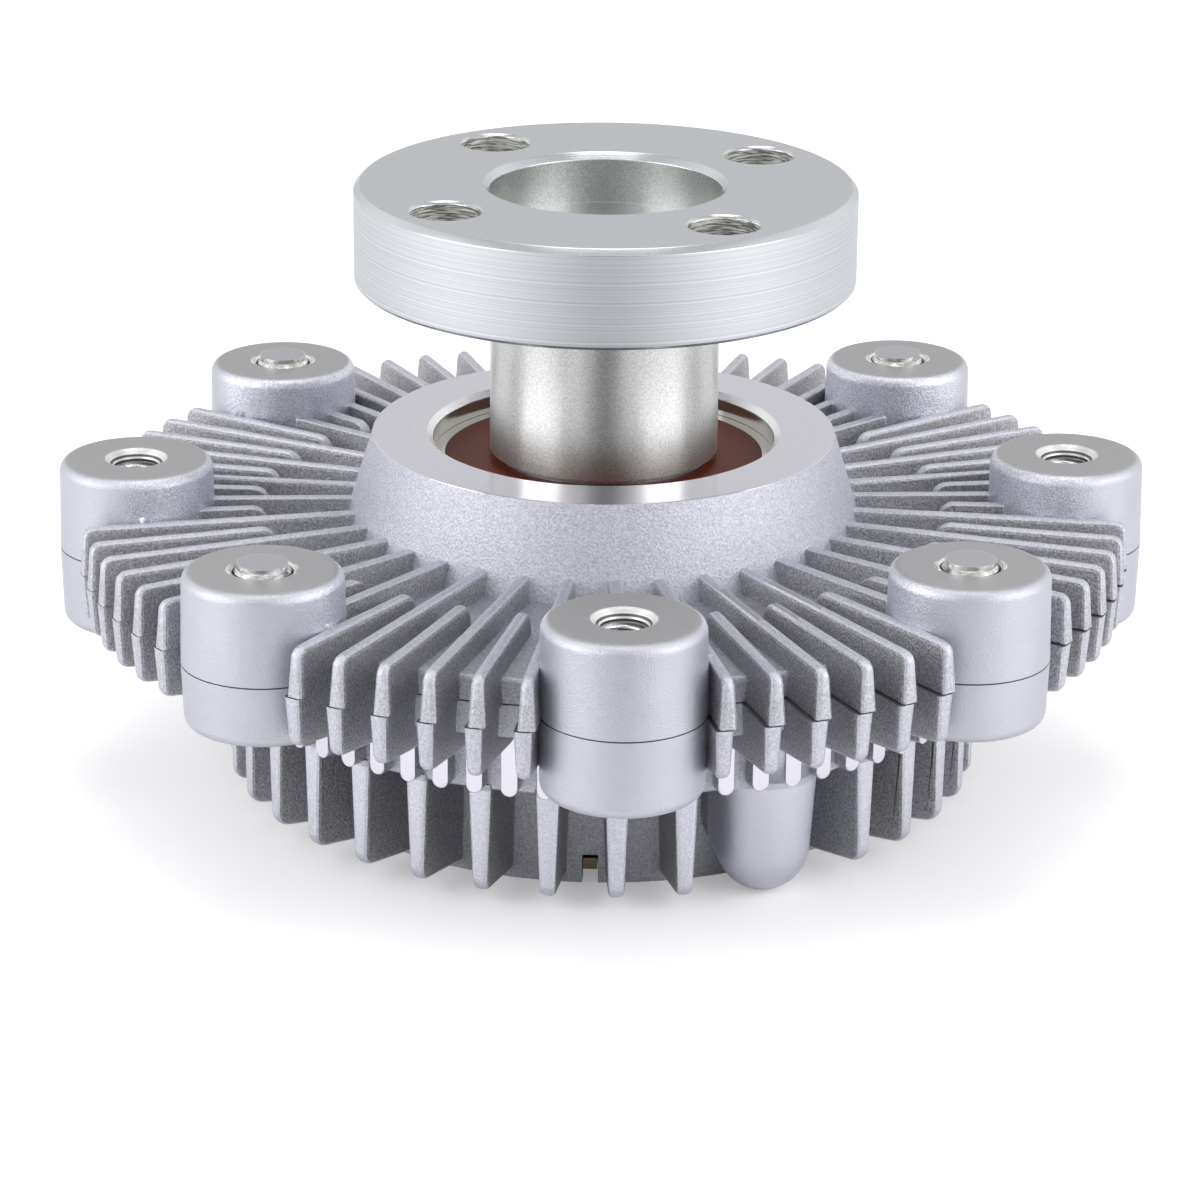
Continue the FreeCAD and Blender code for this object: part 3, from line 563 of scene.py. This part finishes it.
def flatten(piece):
    """Joins the solid's facets into whole faces, so that edges can be rounded evenly."""
    weld = piece.modifiers.new("join_faces", "WELD")
    weld.merge_threshold = 0.002 * MM
    whole = piece.modifiers.new("flat_faces", "DECIMATE")
    whole.decimate_type = "DISSOLVE"
    whole.angle_limit = math.radians(0.6)


def round_edges(piece, width_mm, limit, segments=2):
    """Rounds the edges and inner corners that a mould or a deburring tool leaves rounded."""
    bevel = piece.modifiers.new("round_edges", "BEVEL")
    bevel.width = width_mm * MM
    bevel.segments = segments
    bevel.limit_method = limit
    bevel.angle_limit = math.radians(25)
    bevel.use_clamp_overlap = False
    bevel.loop_slide = True
    bevel.miter_outer = "MITER_ARC"
    even = piece.modifiers.new("even_shading", "WEIGHTED_NORMAL")
    even.weight = 80
    even.keep_sharp = True


def edge_shares(name, zones_of):
    """Geometry nodes that give each sharp outer edge its share of the full round, by where it lies."""
    tree = bpy.data.node_groups.new(name, "GeometryNodeTree")
    tree.interface.new_socket("Geometry", in_out="INPUT", socket_type="NodeSocketGeometry")
    tree.interface.new_socket("Geometry", in_out="OUTPUT", socket_type="NodeSocketGeometry")
    start = add_node(tree, "NodeGroupInput")
    angle = add_node(tree, "GeometryNodeInputMeshEdgeAngle").outputs
    share = above(tree, angle["Signed Angle"], ROUNDED_FROM)
    spots = spots_of(tree, add_node(tree, "GeometryNodeInputPosition").outputs[0])
    for zone, part in zones_of(tree, spots):
        share = math_node(tree, "MULTIPLY", share, blend_value(tree, zone, 1.0, part))
    store = add_node(tree, "GeometryNodeStoreNamedAttribute", {"data_type": "FLOAT", "domain": "EDGE"})
    store.inputs["Name"].default_value = "bevel_weight_edge"
    tree.links.new(start.outputs[0], store.inputs["Geometry"])
    tree.links.new(share, store.inputs["Value"])
    crisp = both(tree, above(tree, angle["Unsigned Angle"], CRISP_FROM), below(tree, share, 0.01))
    mark = add_node(tree, "GeometryNodeStoreNamedAttribute", {"data_type": "BOOLEAN", "domain": "EDGE"})
    mark.inputs["Name"].default_value = "sharp_edge"
    tree.links.new(store.outputs[0], mark.inputs["Geometry"])
    tree.links.new(crisp, mark.inputs["Value"])
    add_node(tree, "NodeGroupOutput", links={0: mark.outputs[0]})
    return tree


def beside_bosses(tree, spots):
    """1 for the fins that run into a boss, whose edges meet its narrow facets."""
    angle = math_node(tree, "ARCTAN2", spots["x"], math_node(tree, "MULTIPLY", spots["y"], -1.0))
    turned = math_node(tree, "WRAP", angle, HALF_STEP / 2, -HALF_STEP / 2)
    near = below(tree, math_node(tree, "ABSOLUTE", turned), FINS_BESIDE_BOSS)
    parting = between(tree, spots["z"], PARTING - 0.1 * MM, PARTING + 0.1 * MM)
    return both(tree, near, above(tree, spots["z"], LEDGE + 0.1 * MM), outside(tree, parting))


def body_edges(tree, spots):
    """Parting edges and cut edges stay crisp, and edges inside the casting stay as they are."""
    low = below(tree, spots["z"], CONE_FOOT - 1 * MM)
    inside = both(tree, below(tree, spots["radius"], WALL_R), low)
    high = above(tree, spots["z"], CONE_FOOT + 1 * MM)
    mouth = both(tree, below(tree, spots["radius"], NECK_R + 0.2 * MM), high)
    holes = round_axes(tree, spots, 0.0, 8, BOSS_CIRCLE_R, BOLT_HOLE_R + 0.4 * MM)
    parting = below(tree, spots["z"], PARTING + 0.05 * MM)
    return ((inside, 0.0), (mouth, 0.18), (holes, 0.15), (parting, 0.25), (beside_bosses(tree, spots), 0.3))


def cover_edges(tree, spots):
    """Parting edges and turned ribs stay crisp, and edges inside the casting stay as they are."""
    wall = WALL_R - 0.3 * MM
    ledge = LEDGE + 0.1 * MM
    inside = both(tree, below(tree, spots["radius"], wall), above(tree, spots["z"], ledge))
    recess = below(tree, spots["radius"], RIM_RECESS_R)
    holes = round_axes(tree, spots, HALF_STEP, 4, BOSS_CIRCLE_R, HEAD_POCKET_R)
    parting = above(tree, spots["z"], PARTING - 0.05 * MM)
    ribs = both(tree, between(tree, spots["radius"], wall, RIB_FACE_END_R),
                between(tree, spots["z"], ledge, RIB_TURNED_TOP))
    near_pillar = pillar_zone(tree, spots, 0.8 * MM)
    pillar_top = both(tree, near_pillar, above(tree, spots["z"], LEDGE - 1 * MM))
    slot = both(tree, below(tree, spots["z"], SLOT_TOP), below(tree, spots["radius"], RIM_R + 0.5 * MM))
    return ((inside, 0.0), (recess, 0.3), (holes, 0.3), (parting, 0.25), (ribs, 0.3), (pillar_top, 0.0),
            (slot, 0.15), (beside_bosses(tree, spots), 0.3))


def soften_casting(piece, width_mm, zones_of):
    """Rounds a casting's outer edges, each zone by its own share of the width."""
    flatten(piece)
    share = piece.modifiers.new("edge_shares", "NODES")
    share.node_group = edge_shares(piece.name + "_edges", zones_of)
    round_edges(piece, width_mm, "WEIGHT", 3)


def on_circle(radius, angle):
    """A place on a circle about the axis, counted from -Y towards +X."""
    return radius * math.sin(angle), -radius * math.cos(angle)


def new_mesh(name, points, faces):
    """A checked mesh from its points and faces."""
    mesh = bpy.data.meshes.new(name)
    mesh.from_pydata(points, [], faces)
    mesh.validate()
    return mesh


def add_piece(name, mesh, finish):
    """A piece for the looks alone, with its finish, in the scene."""
    mesh.materials.append(finish)
    piece = bpy.data.objects.new(name, mesh)
    bpy.context.scene.collection.objects.link(piece)
    return piece


def pillar_head_mesh():
    """The pillar's upper end, which runs on behind the ribs up to the fins."""
    centre = on_circle(PILLAR_CIRCLE_R, PILLAR_ANGLE)
    count = PILLAR_HEAD_SIDES
    points = []
    for height in (PILLAR_HEAD_LOW, PILLAR_HEAD_HIGH):
        for step in range(count):
            angle = 2 * math.pi * step / count
            x = centre[0] + PILLAR_HEAD_R * math.cos(angle)
            points.append((x, centre[1] + PILLAR_HEAD_R * math.sin(angle), height))
    faces = [(i, (i + 1) % count, (i + 1) % count + count, i + count) for i in range(count)]
    faces.append(tuple(range(count))[::-1])
    faces.append(tuple(range(count, 2 * count)))
    mesh = new_mesh("pillar_head", points, faces)
    for face in mesh.polygons[:count]:
        face.use_smooth = True
    return mesh


def thread_mesh(centre):
    """A ridge that winds down the wall of a tapped hole and fades out at both ends."""
    points = []
    faces = []
    total = int(((THREAD_HIGH - THREAD_LOW) / THREAD_PITCH - 1) * THREAD_STEPS)
    # Each corner: how far out of the wall, and how far along in pitches
    profile = ((0.02 * MM, 0.5), (-THREAD_DEPTH, 0.06), (-THREAD_DEPTH, -0.06), (0.02 * MM, -0.5))
    for step in range(total + 1):
        angle = 2 * math.pi * step / THREAD_STEPS
        height = THREAD_HIGH - THREAD_PITCH * (0.5 + step / THREAD_STEPS)
        fade = min(1.0, step / THREAD_STEPS * 2, (total - step) / THREAD_STEPS * 2)
        for out, along in profile:
            r = TAP_R + (out * fade if out < 0 else out)
            x = centre[0] + r * math.cos(angle)
            points.append((x, centre[1] - r * math.sin(angle), height + along * THREAD_PITCH))
    count = len(profile)
    for step in range(total):
        for i in range(count):
            a = step * count + i
            b = step * count + (i + 1) % count
            faces.append((a, b, b + count, a + count))
    faces.append(tuple(range(count))[::-1])
    faces.append(tuple(range(total * count, total * count + count)))
    mesh = new_mesh("thread", points, faces)
    mesh.shade_smooth()
    return mesh


def crescent_mesh(centre, side):
    """A low bulge of boss metal beside a bolt's end, as a staking punch raises it."""
    points = []
    faces = []
    steps_along = 12
    ring = 7
    for step in range(steps_along + 1):
        turn = STAKE_HALF_ANGLE * (2 * step / steps_along - 1)
        full = math.sin(math.pi * step / steps_along) ** 0.6
        for i in range(ring):
            bow = math.pi * i / (ring - 1)
            r = STAKE_R + STAKE_WIDTH * full * math.cos(bow)
            lift = STAKE_HEIGHT * full * math.sin(bow) - STAKE_SINK
            x = centre[0] + side * r * math.cos(turn)
            points.append((x, centre[1] + r * math.sin(turn), BOSS_TOP + lift))
    for step in range(steps_along):
        for i in range(ring - 1):
            a = step * ring + i
            faces.append((a, a + 1, a + ring + 1, a + ring)[::-side])
    mesh = new_mesh("crescent", points, faces)
    mesh.shade_smooth()
    return mesh


def look(place, pitch, yaw, roll):
    """Camera matrix from where it stands, how far it looks down, its turn to the right and its tilt."""
    ahead = Vector((math.sin(yaw) * math.cos(pitch), math.cos(yaw) * math.cos(pitch), -math.sin(pitch)))
    right = ahead.cross(Vector((0, 0, 1))).normalized()
    down = ahead.cross(right)
    across = right * math.cos(roll) + down * math.sin(roll)
    up = right * math.sin(roll) - down * math.cos(roll)
    turn = Matrix((across, up, -ahead)).transposed().to_4x4()
    return Matrix.Translation(place) @ turn


def add_lamp(name, place, target, size, power):
    """A soft lamp at a place, turned to the target."""
    data = bpy.data.lights.new(name, "AREA")
    data.shape = "RECTANGLE"
    data.size = size[0]
    data.size_y = size[1]
    data.energy = power
    lamp = bpy.data.objects.new(name, data)
    bpy.context.scene.collection.objects.link(lamp)
    lamp.location = place
    lamp.rotation_euler = (Vector(target) - Vector(place)).to_track_quat("-Z", "Y").to_euler()


def studio_world():
    """Pale surround: bright to both sides, softer behind and above, and dim where the camera stands."""
    world = bpy.data.worlds.new("pale_studio")
    bpy.context.scene.world = world
    world.use_nodes = True
    tree = world.node_tree
    tree.nodes.clear()
    way = add_node(tree, "ShaderNodeTexCoord").outputs["Generated"]
    split = add_node(tree, "ShaderNodeSeparateXYZ", links={0: way})
    angle = math_node(tree, "ARCTAN2", split.outputs[0], split.outputs[1])
    share = math_node(tree, "MULTIPLY_ADD", angle, 0.5 / math.pi, 0.5)
    ramp = add_node(tree, "ShaderNodeValToRGB", links={0: share})
    bar = ramp.color_ramp
    bar.interpolation = "EASE"
    bar.elements.remove(bar.elements[1])
    bar.elements[0].position = WALLS[0][0]
    bar.elements[0].color = (WALLS[0][1],) * 3 + (1,)
    for spot, value in WALLS[1:]:
        bar.elements.new(spot).color = (value, value, value, 1)
    high = soft_step(tree, split.outputs[2], 0.5, 0.95)
    light = blend_colour(tree, high, ramp.outputs[0], shade([1.0, 1.0, 1.0], CEILING))
    surround = add_node(tree, "ShaderNodeBackground", {"Strength": 1.0}, {"Color": light})
    add_node(tree, "ShaderNodeOutputWorld", links={"Surface": surround.outputs[0]})


def add_flag():
    """Dark card low in front of the clutch: only polished surfaces see it, as with a studio's flag."""
    bpy.ops.mesh.primitive_plane_add(size=1.0, location=FLAG_PLACE)
    card = bpy.context.object
    card.name = "front_flag"
    card.scale = FLAG_SIZE
    card.visible_camera = False
    card.visible_diffuse = False
    card.visible_shadow = False
    black = bpy.data.materials.new("black_felt_card")
    black.use_nodes = True
    shader = black.node_tree.nodes["Principled BSDF"]
    shader.inputs["Base Color"].default_value = linear("#1c1c1e")
    shader.inputs["Roughness"].default_value = 1.0
    card.data.materials.append(black)


class FanClutchStage(bpy.types.PropertyGroup):
    """The camera, the floor and the lamps' power"""
    lens: bpy.props.FloatProperty(
        name="Lens", description="Focal length of the camera", default=130.97, unit="CAMERA")
    place: bpy.props.FloatVectorProperty(
        name="Place", description="Where the camera stands",
        default=(-0.02647, -0.61171, 0.16097), subtype="XYZ")
    pitch: bpy.props.FloatProperty(
        name="Pitch", description="How far the camera looks down",
        default=math.radians(20.199), subtype="ANGLE")
    yaw: bpy.props.FloatProperty(
        name="Yaw", description="Turn of the view to the right",
        default=math.radians(2.4489), subtype="ANGLE")
    roll: bpy.props.FloatProperty(
        name="Roll", description="Tilt of the picture",
        default=math.radians(-0.5443), subtype="ANGLE")
    floor: bpy.props.FloatVectorProperty(
        name="Floor", description="Colour of the floor",
        default=linear("#f6f6f7")[:3], subtype="COLOR")
    lift: bpy.props.FloatProperty(
        name="Floor lift", description="How much of the floor's white the picture keeps in shadow",
        default=0.26)
    key: bpy.props.FloatProperty(
        name="Key", description="Power of the side lamps", default=4.2, unit="POWER")
    top: bpy.props.FloatProperty(
        name="Top", description="Power of the lamp above", default=2.3, unit="POWER")


class FanClutchFinish(bpy.types.PropertyGroup):
    """The colours of the finishes and the rounds of the edges"""
    edge: bpy.props.FloatProperty(
        name="Casting edge", description="Round of the castings' edges",
        default=0.76 * MM, unit="LENGTH")
    cut_edge: bpy.props.FloatProperty(
        name="Turned edge", description="Round of the turned pieces' edges",
        default=0.12 * MM, unit="LENGTH")
    casting: bpy.props.FloatVectorProperty(
        name="Casting", description="Colour of the blasted castings",
        default=linear("#c9cad3")[:3], subtype="COLOR")
    # Colour of the painted shade in the castings' flanks and hollows
    shaded_hollow: bpy.props.FloatVectorProperty(
        name="Hollows", description="Colour of the castings' flanks and hollows",
        default=linear("#aeaeb3")[:3], subtype="COLOR")
    plate: bpy.props.FloatVectorProperty(
        name="Plate", description="Colour of the zinc plate",
        default=linear("#d3d6da")[:3], subtype="COLOR")
    rubber: bpy.props.FloatVectorProperty(
        name="Rubber", description="Colour of the bearing seals",
        default=linear("#6a3123")[:3], subtype="COLOR")


class FANCLUTCH_OT_castings(bpy.types.Operator):
    """Finish the rear body and the front cover as shot-blasted castings"""
    bl_idname = "fanclutch.castings"
    bl_label = "Castings"

    def execute(self, context):
        finish = context.scene.fan_clutch_finish
        colours = (list(finish.casting), list(finish.shaded_hollow))
        body = cast_aluminium("blasted_cast_aluminium_body", *colours, body_machined, body_shaded_hollow)
        cover = cast_aluminium("blasted_cast_aluminium_cover", *colours, cover_machined, cover_shaded_hollow)
        soften_casting(dress("rear_body", body), finish.edge / MM, body_edges)
        soften_casting(dress("front_cover", cover), finish.edge / MM, cover_edges)
        head = add_piece("pillar_head", pillar_head_mesh(), cover)
        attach(head, "housing")
        return {"FINISHED"}


class FANCLUTCH_OT_threads(bpy.types.Operator):
    """Cut the M8 threads of the four fan bosses"""
    bl_idname = "fanclutch.threads"
    bl_label = "Tapped threads"

    def execute(self, context):
        # Tapped threads: bright crests that flash in the dark hole
        finish = plain_metal("tapped_cast_aluminium", ("#d9d9de", "#f0f0f2"), (0.2, 0.32))
        for index in range(4):
            centre = on_circle(BOSS_CIRCLE_R, math.radians(90 * index))
            piece = add_piece("fan_boss_thread_" + str(index + 1), thread_mesh(centre), finish)
            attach(piece, "housing")
        return {"FINISHED"}


class FANCLUTCH_OT_hub(bpy.types.Operator):
    """Finish the flange and shaft as zinc-plated turned steel"""
    bl_idname = "fanclutch.hub"
    bl_label = "Hub and flange"

    def execute(self, context):
        finish = context.scene.fan_clutch_finish
        piece = dress("hub_shaft", zinc_plated_steel(list(finish.plate)))
        flatten(piece)
        round_edges(piece, finish.cut_edge / MM, "ANGLE")
        return {"FINISHED"}


class FANCLUTCH_OT_bearing(bpy.types.Operator):
    """Finish the ball bearing, its seals and its retaining ring"""
    bl_idname = "fanclutch.bearing"
    bl_label = "Bearing"

    def execute(self, context):
        # Ground: near a mirror, so the outer race shows as a thin bright ring
        ground = plain_metal("ground_bearing_steel", ("#c9cacb", "#dfe0e1"), (0.12, 0.2), 0.2)
        # Pressed sheet: soft and greyer, with no rings
        pressed = plain_metal("pressed_steel_cage", ("#a9a9a8", "#c0c0bf"), (0.3, 0.42), 0.8, False)
        colour = list(context.scene.fan_clutch_finish.rubber)
        rubber = moulded_rubber("red_brown_nitrile_rubber", colour, (0.36, 0.46))
        # Oiled spring steel: the darkest metal here
        spring = plain_metal("oiled_spring_steel", ("#5d5e60", "#77787b"), (0.3, 0.4), 0.6, False)
        for node in ("bearing_inner_race", "bearing_outer_race", "bearing_balls"):
            dress(node, ground)
        dress("bearing_cage", pressed)
        for node in ("bearing_seal_rear", "bearing_seal_front"):
            dress(node, rubber)
        for node in ("bearing_retaining_ring", "rotor_retaining_ring"):
            dress(node, spring)
        return {"FINISHED"}


class FANCLUTCH_OT_coupling(bpy.types.Operator):
    """Finish the rotor, the divider, the valve, the bimetal coil and the seals"""
    bl_idname = "fanclutch.coupling"
    bl_label = "Coupling and valve"

    def execute(self, context):
        # Turned rotor: pale, with rings
        turned = plain_metal("turned_aluminium", ("#c8c9cc", "#dcdddf"), (0.22, 0.34), 0.4)
        # Rolled sheet: mid grey with a faint grain
        rolled = plain_metal("rolled_sheet_steel", ("#a5a7a9", "#b9bbbd"), (0.3, 0.42), 1.2, False)
        # Valve shaft: smooth and pale, with fine rings
        pin = plain_metal("turned_steel_pin", ("#bdbdbd", "#d2d2d2"), (0.2, 0.3), 0.2)
        # Bimetal strip: dull brownish brass tone
        strip = plain_metal("rolled_bimetal_strip", ("#6b604c", "#857860"), (0.3, 0.42), 0.9, False)
        black = moulded_rubber("black_nitrile_rubber", linear("#1b1b1b"), (0.5, 0.6))
        dress("rotor", turned)
        for node in ("divider_plate", "valve_arm"):
            dress(node, rolled)
        dress("valve_shaft", pin)
        dress("bimetal_coil", strip)
        for node in ("valve_shaft_seal", "cover_seal"):
            dress(node, black)
        return {"FINISHED"}


class FANCLUTCH_OT_bolts(bpy.types.Operator):
    """Finish the cover bolts as bright zinc-plated steel, staked on both sides"""
    bl_idname = "fanclutch.bolts"
    bl_label = "Cover bolts"

    def execute(self, context):
        plated = bolt_steel()
        # Stake marks: metal pressed bright beside the bolt's end
        burnished = plain_metal("burnished_cast_aluminium", ("#d3d3d6", "#f2f2f3"), (0.2, 0.3), 0.4, False)
        for index in range(4):
            dress("cover_bolt_" + str(index + 1), plated)
            centre = on_circle(BOSS_CIRCLE_R, math.radians(90 * index) + HALF_STEP)
            for side, place in ((-1, "left"), (1, "right")):
                name = "stake_mark_" + str(index + 1) + "_" + place
                piece = add_piece(name, crescent_mesh(centre, side), burnished)
                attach(piece, "housing")
        return {"FINISHED"}


class FANCLUTCH_OT_stage(bpy.types.Operator):
    """Set the clutch on a pale floor under soft lamps, with the camera in front"""
    bl_idname = "fanclutch.stage"
    bl_label = "Stage"

    def execute(self, context):
        stage = context.scene.fan_clutch_stage
        bpy.ops.mesh.primitive_plane_add(size=FLOOR_SIZE, location=(0, 0, FLOOR_Z))
        floor = context.object
        floor.name = "studio_floor"
        # White paper: it glows a little to the camera, so its shadows stay pale
        paper = bpy.data.materials.new("white_paper_floor")
        paper.use_nodes = True
        shader = paper.node_tree.nodes["Principled BSDF"]
        shader.inputs["Base Color"].default_value = list(stage.floor) + [1.0]
        shader.inputs["Roughness"].default_value = 0.9
        seen = add_node(paper.node_tree, "ShaderNodeLightPath").outputs["Is Camera Ray"]
        lift = math_node(paper.node_tree, "MULTIPLY", seen, stage.lift)
        paper.node_tree.links.new(lift, shader.inputs["Emission Strength"])
        shader.inputs["Emission Color"].default_value = linear("#ffffff")
        floor.data.materials.append(paper)
        add_lamp("left_softbox", LEFT_LAMP, LAMP_AIM, SIDE_LAMP_SIZE, stage.key)
        add_lamp("right_softbox", RIGHT_LAMP, LAMP_AIM, SIDE_LAMP_SIZE, stage.key)
        add_lamp("top_softbox", TOP_LAMP, LAMP_AIM, TOP_LAMP_SIZE, stage.top)
        add_flag()
        studio_world()
        data = bpy.data.cameras.new("camera")
        data.lens = stage.lens
        data.sensor_width = 36.0
        data.clip_start = 0.01
        camera = bpy.data.objects.new("camera", data)
        context.scene.collection.objects.link(camera)
        camera.matrix_world = look(Vector(stage.place), stage.pitch, stage.yaw, stage.roll)
        context.scene.camera = camera
        context.scene.view_settings.view_transform = "Standard"
        return {"FINISHED"}


class FANCLUTCH_PT_panel(bpy.types.Panel):
    bl_idname = "FANCLUTCH_PT_panel"
    bl_label = "Fan clutch"
    bl_space_type = "VIEW_3D"
    bl_region_type = "UI"
    bl_category = "Fan clutch"

    def draw(self, context):
        for group in (context.scene.fan_clutch_finish, context.scene.fan_clutch_stage):
            for name in group.bl_rna.properties.keys():
                if name not in ("rna_type", "name"):
                    self.layout.prop(group, name)
        for step in STEPS:
            self.layout.operator(step.bl_idname)


STEPS = (
    FANCLUTCH_OT_castings,
    FANCLUTCH_OT_threads,
    FANCLUTCH_OT_hub,
    FANCLUTCH_OT_bearing,
    FANCLUTCH_OT_coupling,
    FANCLUTCH_OT_bolts,
    FANCLUTCH_OT_stage,
)
CLASSES = (FanClutchStage, FanClutchFinish) + STEPS + (FANCLUTCH_PT_panel,)


def register():
    """Adds the classes and the scene's two groups of settings."""
    for item in CLASSES:
        bpy.utils.register_class(item)
    bpy.types.Scene.fan_clutch_stage = bpy.props.PointerProperty(type=FanClutchStage)
    bpy.types.Scene.fan_clutch_finish = bpy.props.PointerProperty(type=FanClutchFinish)


def unregister():
    """Takes the settings and the classes away again."""
    del bpy.types.Scene.fan_clutch_finish
    del bpy.types.Scene.fan_clutch_stage
    for item in reversed(CLASSES):
        bpy.utils.unregister_class(item)


def main():
    """Runs the steps in order."""
    register()
    for step in STEPS:
        group, name = step.bl_idname.split(".")
        getattr(getattr(bpy.ops, group), name)()


if __name__ == "__main__":
    main()
